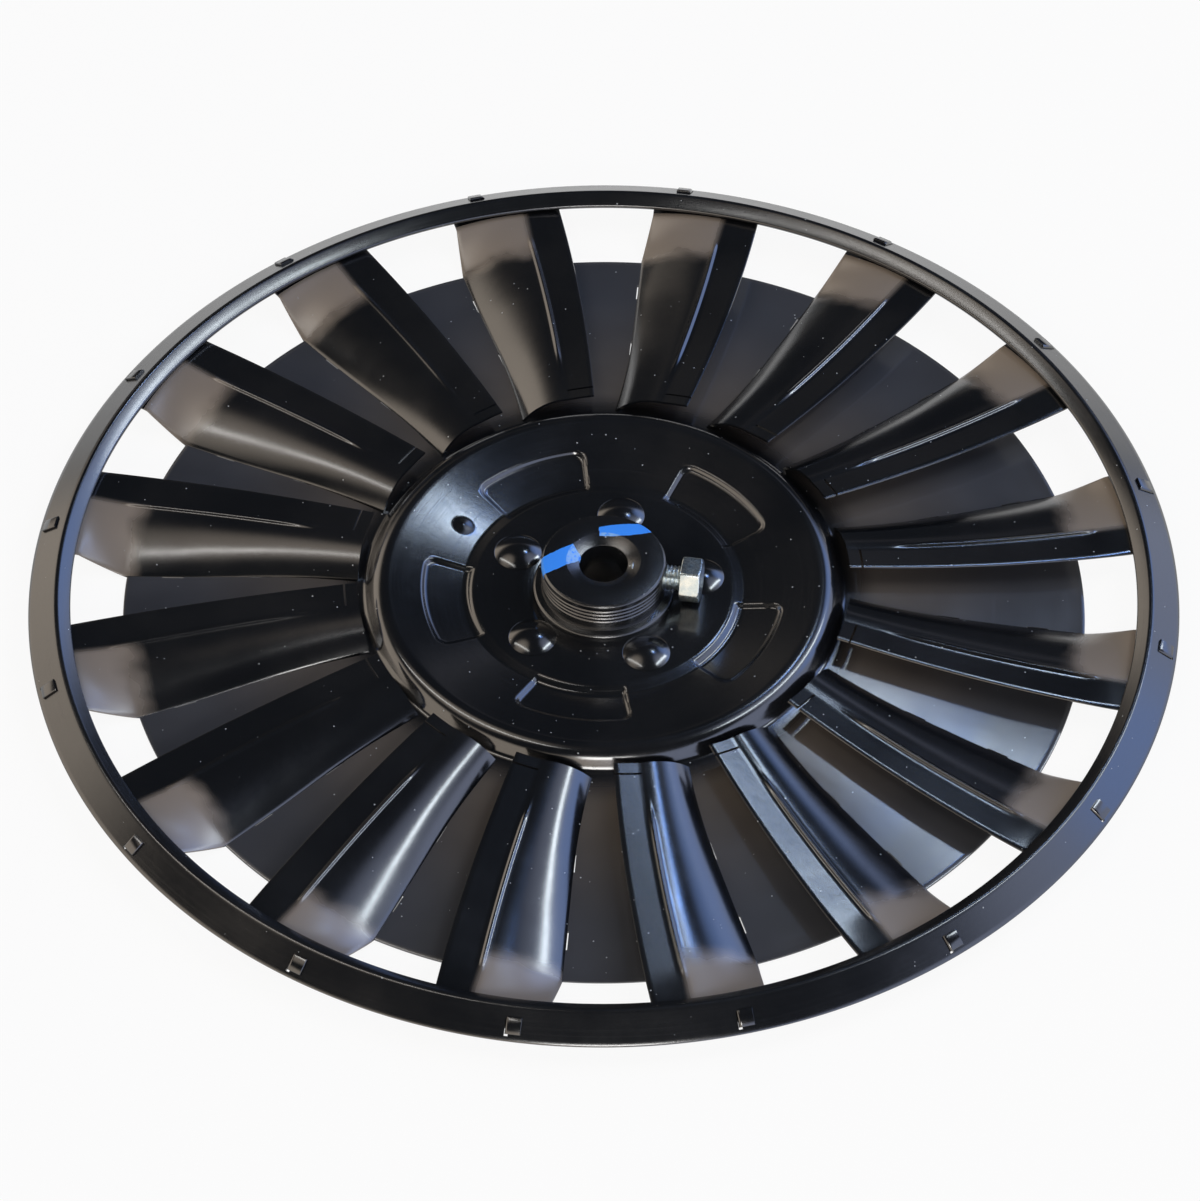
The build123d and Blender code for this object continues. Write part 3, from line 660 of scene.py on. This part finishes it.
class WHEEL_OT_blades(bpy.types.Operator):
    """Blades: across the foot a flat strip, a bead and a bulged wall, as heights over the place along it"""

    bl_idname = "fan_wheel.blades"
    bl_label = "Blades"

    def execute(self, context):
        sizes = context.scene.fan_wheel_sizes
        points, faces = self.body(sizes)
        extras = [self.foot_tab(r, sizes.blade) for r in FOOT_TABS]
        extras.append(self.ring_tab(sizes.blade))
        material = enamel("blade_enamel", roughness=0.17, painted_reflection=painted_tip_reflection)
        for k in range(BLADES):
            angle = FIRST_FOOT - k * SECTOR
            shell = Shell()
            shell.add_around(points, faces, [angle])
            for tab_points, tab_faces in extras:
                shell.add_around(tab_points, tab_faces, [angle])
            shell.piece("folded_blade_%02d" % (k + 1), material, "blade_%02d" % (k + 1))
        return {"FINISHED"}

    @staticmethod
    def upper_face(x, u, sizes):
        """Sideways place and height at a distance x out and a place u across: 0 to 1 the strip, 1 to 2 the
        bead, 2 to 3 the wall. The leading edge is a bowed line, and the fold runs beside it. The foot lies on
        the plate and rises past its rim, and the wall is the chord from fold to foot plus a parabola."""
        inner, lead_length, curl_length = 92.0, 110.3, 50.35
        lead_start, lead_run, lead_bow = -25.0, -20.6, -8.0
        lead_height, lead_sag = 19.2, 2.8
        strip_width, strip_widening, fold_drop = 11.5, 3.5, 0.9
        bead_half, bead_start, bead_end = 1.5, 112.0, 194.0
        foot_curl, foot_lean, foot_gap, rise_power, tip_bulge = 4.0, 3.5, 0.15, 1.15, 0.4
        under_ring = smooth((x - 186.0) / 20.0)
        past_rim = np.clip((x - PLATE_RIM) / (RING_LIP - PLATE_RIM), 0, 1)

        s = (x - inner) / lead_length
        lead_y = lead_start + lead_run * s + lead_bow * s * (1 - s)
        s1 = np.clip(s, 0, 1)
        lead_z = lead_height + (BLADE_TIP_Z - lead_height) * s1 - lead_sag * s1 * (1 - s1)
        fold_y = lead_y + strip_width + strip_widening * np.clip((x - inner) / (RING_LIP - inner), 0, 1)
        fold_z = lead_z - fold_drop * (1 - under_ring)
        inward = 1 - np.clip((x - inner) / curl_length, 0, 1)
        foot_y = foot_curl * inward ** 2 - foot_lean * past_rim
        foot_z = on_plate(np.clip(x, PAN_EDGE, PLATE_RIM)) + foot_gap * (1 - under_ring)
        foot_z = foot_z + (TRAIL_TIP_Z - RIM_Z) * past_rim ** rise_power

        strip = np.clip(u, 0, 1)
        bead = np.clip(u - 1, 0, 1)
        wall = np.clip(u - 2, 0, 1)
        rise = 0.02 + sizes.bead_height * smooth((x - bead_start) / 16.0) * smooth((bead_end - x) / 5.0)
        y = lead_y + (fold_y - bead_half - lead_y) * strip + 2 * bead_half * bead
        z = lead_z + (fold_z - lead_z) * strip + rise * np.sin(math.pi * bead) ** 2
        dy = foot_y - (fold_y + bead_half)
        dz = foot_z - fold_z
        chord = np.hypot(dy, dz)
        bulge = sizes.wall_bulge + (tip_bulge - sizes.wall_bulge) * under_ring
        lift = 2 * wall * (1 - wall) * 2 * bulge
        return y + dy * wall - dz / chord * lift, z + dz * wall + dy / chord * lift

    def body(self, sizes):
        """The blade's closed sheet, its foot along X, with a slit near its inner end."""
        inner_r, outer_r, round_steps = 96.3, 219.6, 3
        u = np.concatenate([np.linspace(0, 1, 8)[:-1], np.linspace(1, 2, 11)[:-1], np.linspace(2, 3, 20)])
        slit_start, slit_end, slit_depth = 0.036, 0.043, 7
        s = np.concatenate([[0, slit_start / 2, slit_start, slit_end], np.linspace(0.06, 0.72, 20),
                            np.linspace(0.735, 1, 22)])
        u, s = u[:, None], s[None, :]
        inner_x = np.full((len(u), 1), 93.0)
        outer_x = np.full((len(u), 1), 216.0)
        for _ in range(3):  # each pass brings the ends nearer to the places where a line meets its end radius
            inner_x = np.sqrt(inner_r ** 2 - self.upper_face(inner_x, u, sizes)[0] ** 2)
            outer_x = np.sqrt(outer_r ** 2 - self.upper_face(outer_x, u, sizes)[0] ** 2)
        x = inner_x + (outer_x - inner_x) * s
        y, z = self.upper_face(x, u, sizes)
        face = np.stack([x, y, z], axis=-1)
        normal = grid_normals(face, False)
        normal = normal * np.sign(normal[..., 2:3])
        middle = face - normal * sizes.blade / 2
        loop = sheet_loop(middle, normal, sizes.blade, round_steps)
        rows, columns = loop.shape[:2]
        mesh = quads(rows, columns, True, False)
        under = 2 * len(u) + round_steps - 1
        keep = np.ones(mesh.shape[:2], bool)
        near, far = 2, 3  # columns on the slit's two sides
        keep[:slit_depth, near] = False
        keep[under - slit_depth:, near] = False

        def cap(column, count, flip):
            """Faces that close the sheet's end at one column, beside the first rows of its upper side."""
            pairs = [((i + 1) * columns + column, i * columns + column, (under - i) * columns + column,
                      (under - i - 1) * columns + column) for i in range(count)]
            return [f[::-1] for f in pairs] if flip else pairs

        def rounded_end(column, flip):
            """The two faces that close the sheet's half rounds at one column."""
            nose = [i * columns + column for i in range(under, rows)] + [column]
            heel = [i * columns + column for i in range(len(u) - 1, len(u) + round_steps + 1)]
            return [tuple(nose[::-1] if flip else nose), tuple(heel[::-1] if flip else heel)]

        last = columns - 1
        faces = list(mesh[keep])
        faces += cap(0, len(u) - 1, True) + cap(last, len(u) - 1, False)
        faces += rounded_end(0, False) + rounded_end(last, True)
        faces += cap(near, slit_depth, False) + cap(far, slit_depth, True)
        faces += rounded_end(near, True)[:1] + rounded_end(far, False)[:1]
        above, below = slit_depth * columns, (under - slit_depth) * columns
        faces.append((above + near, above + far, below + far, below + near))
        return loop, faces

    @staticmethod
    def rounded_bar(outline, ends):
        """A closed outline of points (a, b) carried from one end to the other: ends gives its points at a
        place from 0 to 1 between them."""
        grid = np.stack([ends(outline, t) for t in (0.0, 0.04, 0.5, 0.96, 1.0)])
        rows, columns = grid.shape[:2]
        faces = [tuple(f) for f in quads(rows, columns, False, True).reshape(-1, 4)]
        first = tuple(range(columns))
        last = tuple(range((rows - 1) * columns, rows * columns))
        return grid.reshape(-1, 3), faces + [first, last[::-1]]

    def foot_tab(self, radius, thickness):
        """A chamfered tab through the plate, from 0.3 mm to 2 mm under its upper face."""
        length, chamfer, sideways, end_taper = 8.0, 0.25, -0.6, 0.85
        top = float(on_plate(radius)) - 0.3
        low = float(on_plate(radius)) - 2.0
        half = thickness * 0.7
        outline = np.array([(-half, top), (half, top), (half, low + chamfer), (half - chamfer, low),
                            (chamfer - half, low), (-half, low + chamfer)])

        def ends(shape, t):
            shrink = end_taper if t in (0.0, 1.0) else 1.0
            x = np.full(len(shape), radius - length / 2 + length * t)
            return np.stack([x, sideways + shape[:, 0] * shrink, shape[:, 1]], axis=-1)

        return self.rounded_bar(outline, ends)

    def ring_tab(self, thickness):
        """A tab up through the ring's slot and bent over flat on it: an angle's outline, carried down the
        slope."""
        reach, root_depth, bend_r, end_taper = 5.95, 1.6, 1.1, 0.82
        outer = [(bend_r + bend_r * math.cos(a), thickness - bend_r + bend_r * math.sin(a))
                 for a in np.linspace(math.pi, math.pi / 2, 6)]
        end = [(reach - 0.2, thickness), (reach, thickness - 0.25), (reach, 0.2), (reach - 0.2, 0.02)]
        inner = [(1.4, 0.02), (1.05, -0.3), (1.0, -root_depth)]
        outline = np.array([(0, -root_depth)] + outer + end + inner)
        crest, rim = np.array(RING[1]), np.array(RING[2])
        slope = unit(rim - crest)
        away = left_of(slope)

        def ends(shape, part):
            r0 = RING_TAB[0] + (RING_TAB[1] - RING_TAB[0]) * part
            z0 = crest[1] + (r0 - crest[0]) * slope[1] / slope[0]
            height = shape[:, 1] * (end_taper if part in (0.0, 1.0) else 1.0)
            r = r0 + height * away[0]
            angle = np.radians(RING_TAB[2]) + (shape[:, 0] - 0.5) / r0
            return polar(r, angle, z0 + height * away[1])

        return self.rounded_bar(outline, ends)


class WHEEL_OT_hub(bpy.types.Operator):
    """Hub: a turned outline with grooves, chamfers and small rounds, closed and carried round Z"""

    bl_idname = "fan_wheel.hub"
    bl_label = "Hub"

    def execute(self, context):
        bore_r, back_r, flange_r, collar_r, barrel_r = 9.525, 22.0, 46.5, 27.5, 24.3
        back_z, flange_back_z, flange_front_z, collar_z = 0.4, 6.3, 10.79, 12.8
        back_chamfer, chamfer, mouth_width, mouth_depth = 1.0, 0.8, 5.0, 1.8
        grooves, first_groove, groove_pitch, groove_depth = 4, 3.2, 1.9, 0.45
        seam = (bore_r, 12.0)
        back = [(bore_r, back_z), (back_r - back_chamfer, back_z), (back_r, back_z + back_chamfer)]
        flange = [(back_r, flange_back_z), (flange_r, flange_back_z), (flange_r, flange_front_z)]
        collar = [(collar_r, flange_front_z), (collar_r, collar_z), (collar_r - chamfer, collar_z + chamfer)]
        barrel = [(barrel_r, collar_z + chamfer)]
        for i in reversed(range(grooves)):
            z = HUB_TOP - first_groove - i * groove_pitch
            barrel += [(barrel_r, z - groove_depth), (barrel_r - groove_depth, z),
                       (barrel_r, z + groove_depth)]
        end = [(barrel_r, HUB_TOP - chamfer), (barrel_r - chamfer, HUB_TOP), (bore_r + mouth_width, HUB_TOP),
               (bore_r, HUB_TOP - mouth_depth)]
        corners = [seam] + back + flange + collar + barrel + end + [seam]
        edge_round, round_steps, columns = 0.12, 3, 224
        outline = turned(corners, [edge_round] * (len(corners) - 2), round_steps)[:-1]
        shell = Shell()
        shell.add(around_axis(outline, full_turn(columns)),
                  list(quads(len(outline), columns, True, True).reshape(-1, 4)))
        material = enamel("hub_enamel", roughness=0.2, lines=0.02, paint_strokes=True)
        shell.piece("turned_hub", material, "hub")
        return {"FINISHED"}


class WHEEL_OT_rivets(bpy.types.Operator):
    """Rivets: a ball's cap over a shank and a tail, spun about each rivet's own axis"""

    bl_idname = "fan_wheel.rivets"
    bl_label = "Rivets"

    def execute(self, context):
        rivets, circle_r, first_angle = 5, 38.2, 7.4
        head_r, head_h, base, edge = 9.35, 2.8, 12.0, 0.12
        shank_r, flange_z, tail_r, tail_z = 3.0, 6.29, 5.0, 4.3
        ball = (head_r ** 2 + head_h ** 2) / (2 * head_h)
        tilt = np.linspace(0, math.asin((head_r - edge) / ball), 18)
        cap = np.stack([ball * np.sin(tilt), base + head_h - ball + ball * np.cos(tilt)], axis=1)
        seat = base + 0.005
        under = [(head_r - 0.02, base + edge), (head_r - 0.2, seat), (shank_r, seat), (shank_r, flange_z)]
        tail = [(tail_r - 0.2, flange_z), (tail_r, flange_z - 0.19), (tail_r, tail_z + 0.3),
                (tail_r - 0.4, tail_z), (0, tail_z)]
        points, faces = spun_solid(np.concatenate([cap, under, tail]), 64)
        shell = Shell()
        angles = [first_angle + k * 360 / rivets for k in range(rivets)]
        shell.add_around(points + np.array([circle_r, 0, 0]), faces, angles)
        material = enamel("rivet_enamel", roughness=0.14)
        shell.piece("domed_rivets", material, "rivets")
        return {"FINISHED"}


class WHEEL_OT_set_screw(bpy.types.Operator):
    """Set screw: a distance from its axis over length and angle: a helix, then a hexagon cut by two cones"""

    bl_idname = "fan_wheel.set_screw"
    bl_label = "Set screw"

    def execute(self, context):
        height, direction = 21.8, -9.0
        tip, head, head_length = 9.825, 30.6, 8.0
        pitch, thread_r, thread_depth, point_r = 1.5, 5.0, 0.72, 4.15
        half_flats, corner_round, far_cut, near_cut, cone_slope = 8.0, 0.18, 1.15, 0.75, 1.5
        columns, thread_rows, sixth_turn = 144, 130, math.pi / 3

        phi = (np.arange(columns) * 2 * math.pi / columns)[None, :]
        along = np.linspace(tip + 0.9, head, thread_rows)[:, None]
        wave = abs(((along / pitch - phi / (2 * math.pi)) % 1) * 2 - 1)
        thread = thread_r - thread_depth * np.clip(wave * 1.25 - 0.12, 0, 1)
        thread = np.minimum(thread, point_r + (along - tip) * 0.8 + 0 * phi)

        corner = half_flats / math.cos(sixth_turn / 2)
        from_flat = (phi + sixth_turn / 2) % sixth_turn - sixth_turn / 2
        hexagon = np.minimum(half_flats / np.cos(from_flat), corner - corner_round)
        near_edge = [(0, 0.5), (0.12, 0.2), (0.3, 0.05), (0.8, 0)]
        far_edge = [(3.0, 0), (6.0, 0), (7.0, 0), (7.3, 0), (7.6, 0), (7.85, 0.06), (7.97, 0.25), (8.0, 0.55)]
        place, inset = np.array(near_edge + far_edge).T[..., None]
        far_cone = corner - far_cut + (head_length - place) * cone_slope
        near_cone = corner - near_cut + place * cone_slope
        sides = np.minimum(np.minimum(hexagon, far_cone), near_cone) - inset

        def level(value):
            return np.full((1, columns), value)

        rows_r = np.concatenate([level(3.9), thread, level(4.6), sides, level(6.2)])
        rows_x = np.concatenate([level(tip), along + 0 * phi, level(head - 0.001), head + place + 0 * phi,
                                 level(head + head_length)])
        turn = phi + sixth_turn / 2
        grid = np.stack([rows_x, rows_r * np.cos(turn), rows_r * np.sin(turn)], axis=-1)
        points = np.concatenate([grid.reshape(-1, 3), [[tip, 0, 0], [head + head_length, 0, 0]]])
        shell = Shell()
        shell.add_around(points + np.array([0, 0, height]), poled(len(grid), columns), [direction])
        shell.piece("hexagon_set_screw", zinc("zinc_plate"), "set_screw", sharp_angle=25.0)
        return {"FINISHED"}


# Lamps: two ends as directions from the wheel's middle, distance and width in metres, share of the lamp
# power, and colour
LAMPS = {
    "tube_left": ((-0.678, 0.296, 0.673), (-0.188, -0.241, 0.952), 1.5, 0.07, 0.5, (1.0, 0.99, 0.97)),
    "tube_right": ((0.684, 0.456, 0.569), (0.438, -0.11, 0.892), 1.5, 0.09, 1.3, (0.86, 0.95, 1.0)),
    "window": ((0.215, 0.535, 0.817), (0.255, 0.505, 0.825), 1.8, 0.12, 0.2, (0.72, 0.86, 1.0)),
    "blue_window": ((0.265, 0.495, 0.828), (0.30, 0.465, 0.833), 1.8, 0.12, 0.26, (0.2, 0.4, 1.0)),
    "lamp_front": ((-0.15, -0.86, 0.50), (0.15, -0.86, 0.50), 1.8, 0.3, 2.0, (1.0, 0.98, 0.96)),
}
# Glows in the room: direction, the cosine of the angle from it to the edge, and the setting with the colour
GLOWS = (((-0.46, 0.08, 0.885), 0.925, "room_left"), ((0.56, 0.22, 0.80), 0.925, "room_right"),
         ((0.58, 0.64, 0.50), 0.955, "room_blue"), ((0.84, 0.30, 0.45), 0.955, "room_blue"))
GLOW_STRENGTH = 0.7
GLOW_MIDDLE = 0.995
# The camera's frame in pixels and the place of the ring's middle in it, from its top left corner
FRAME_SIZE = (1200.0, 1201.0)
MIDDLE_IN_FRAME = (603.7, 592.1)
SENSOR_WIDTH = 36.0
RING_MIDDLE_Z = 8.8


class WHEEL_OT_stage(bpy.types.Operator):
    """Stage: a pale floor, a room that is bright low on both sides, soft lamps over it and the camera"""

    bl_idname = "fan_wheel.stage"
    bl_label = "Stage"

    def execute(self, context):
        settings = context.scene.fan_wheel_stage
        self.floor(settings)
        self.room(context, settings)
        for name, (start, end, distance, width, share, colour) in LAMPS.items():
            self.lamp(name, start, end, distance, width, settings.lamp_power * share, colour)
        self.camera(context, settings)
        context.scene.view_settings.view_transform = "Standard"
        return {"FINISHED"}

    @staticmethod
    def floor(settings):
        """A wide square under the wheel, lifted towards white where the camera sees it straight, in a gloss
        or through glass, except under the hub and pan."""
        half_side, lift_start, lift_full = 30.0, 60.0, 120.0
        corners = [(-half_side, -half_side, 0), (half_side, -half_side, 0), (half_side, half_side, 0),
                   (-half_side, half_side, 0)]
        mesh = bpy.data.meshes.new("floor")
        mesh.from_pydata(corners, [], [(0, 1, 2, 3)])
        p = Paint("floor_paint")
        diffuse = p.node("ShaderNodeBsdfDiffuse", {}, {"Color": (*settings.floor, 1)})
        white = p.node("ShaderNodeEmission", {}, {"Color": (1, 1, 1, 1), "Strength": 1.0})
        rays = ("Is Camera Ray", "Is Glossy Ray", "Is Transmission Ray")
        straight, glossy, through = (p.node("ShaderNodeLightPath", {}, {}, ray) for ray in rays)
        seen = straight.largest(glossy).largest(through)
        lift = seen * p.radius.ramp(lift_start, lift_full) * settings.floor_lift
        both = p.node("ShaderNodeMixShader", {}, {0: lift, 1: diffuse, 2: white})
        p.surface("ShaderNodeOutputMaterial", both)
        mesh.materials.append(p.material)
        obj = placed("floor", mesh)

    @staticmethod
    def room(context, settings):
        """World light by direction: pale low on the left and right, dark straight ahead and above, with a few
        glows."""
        world = bpy.data.worlds.new("room")
        context.scene.world = world
        world.use_nodes = True
        w = Nodes(world.node_tree)
        place = w.node("ShaderNodeTexCoord", {}, {}, "Generated")
        x, y, z = (w.node("ShaderNodeSeparateXYZ", {}, {0: place}, axis) for axis in "XYZ")
        sides = w.mix(x.ramp(-0.15, 0.45), (*settings.room_left, 1), (*settings.room_right, 1))
        above = (z - x.ramp(0.45, 0.75) * 0.2).ramp(0.42, 0.58)
        ahead = y.ramp(0.74, 0.86)
        colour = w.mix(above.largest(ahead), sides, (*settings.ceiling, 1))
        for direction, edge, setting in GLOWS:
            dot = {"operation": "DOT_PRODUCT"}
            near = w.node("ShaderNodeVectorMath", dot, {0: place, 1: direction}, "Value")
            tint = (*getattr(settings, setting), 1)
            colour = w.mix(near.ramp(edge, GLOW_MIDDLE) * GLOW_STRENGTH, colour, tint)
        w.surface("ShaderNodeOutputWorld", w.node("ShaderNodeBackground", {}, {"Color": colour}))

    @staticmethod
    def lamp(name, start, end, distance, width, power, colour):
        """A soft rectangular lamp between two directions from the wheel's middle, facing it."""
        start, end = (Vector(direction).normalized() * distance for direction in (start, end))
        along = (end - start).normalized()
        away = ((start + end) / 2).normalized()
        data = bpy.data.lights.new(name, "AREA")
        data.shape = "RECTANGLE"
        data.size, data.size_y = (end - start).length, width
        data.energy = power
        data.color = colour
        placed(name, data, (start + end) / 2, (along, away.cross(along), away))

    @staticmethod
    def camera(context, settings):
        """The camera looks down from the front, the ring's middle a little above and right of its centre."""
        elevation = math.radians(settings.elevation)
        away = Vector((0, -math.cos(elevation), math.sin(elevation)))
        aim = Vector((0, 0, RING_MIDDLE_Z * MM))
        right = Vector((1, 0, 0))
        up = away.cross(right)
        roll = math.radians(settings.roll)
        cos, sin = math.cos(roll), math.sin(roll)
        right, up = right * cos + up * sin, up * cos - right * sin
        focal = settings.lens / SENSOR_WIDTH * FRAME_SIZE[0]
        across = FRAME_SIZE[0] / 2 - MIDDLE_IN_FRAME[0]
        upwards = MIDDLE_IN_FRAME[1] - FRAME_SIZE[1] / 2
        offset = (right * across + up * upwards) / focal * settings.distance
        data = bpy.data.cameras.new("camera")
        data.lens = settings.lens
        data.sensor_width = SENSOR_WIDTH
        data.sensor_fit = "HORIZONTAL"
        data.clip_end = 100.0
        place = aim + away * settings.distance + offset
        context.scene.camera = placed("camera", data, place, (right, up, away))


class WHEEL_PT_panel(bpy.types.Panel):
    """Lists the wheel's pieces, sizes and colours"""

    bl_idname = "WHEEL_PT_panel"
    bl_label = "Fan Wheel"
    bl_space_type = "VIEW_3D"
    bl_region_type = "UI"
    bl_category = "Fan Wheel"

    def draw(self, context):
        for operator in OPERATORS:
            self.layout.operator(operator.bl_idname)
        for name in ("fan_wheel_sizes", "fan_wheel_colours", "fan_wheel_stage"):
            group = getattr(context.scene, name)
            box = self.layout.box()
            for key in group.__annotations__:
                box.prop(group, key)


OPERATORS = (WHEEL_OT_back_plate, WHEEL_OT_front_ring, WHEEL_OT_blades, WHEEL_OT_hub, WHEEL_OT_rivets,
             WHEEL_OT_set_screw, WHEEL_OT_stage)
GROUPS = (WheelColours, SheetSizes, StageSettings)


def register():
    """Registers the add-on's classes and its settings on the scene."""
    for cls in GROUPS + OPERATORS + (WHEEL_PT_panel,):
        bpy.utils.register_class(cls)
    bpy.types.Scene.fan_wheel_colours = PointerProperty(type=WheelColours)
    bpy.types.Scene.fan_wheel_sizes = PointerProperty(type=SheetSizes)
    bpy.types.Scene.fan_wheel_stage = PointerProperty(type=StageSettings)


def unregister():
    """Takes the settings and classes away again."""
    del bpy.types.Scene.fan_wheel_stage
    del bpy.types.Scene.fan_wheel_sizes
    del bpy.types.Scene.fan_wheel_colours
    for cls in reversed(GROUPS + OPERATORS + (WHEEL_PT_panel,)):
        bpy.utils.unregister_class(cls)


def main():
    """Registers the add-on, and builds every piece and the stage."""
    register()
    for operator in OPERATORS:
        group, name = operator.bl_idname.split(".")
        getattr(getattr(bpy.ops, group), name)()


if __name__ == "__main__":
    main()
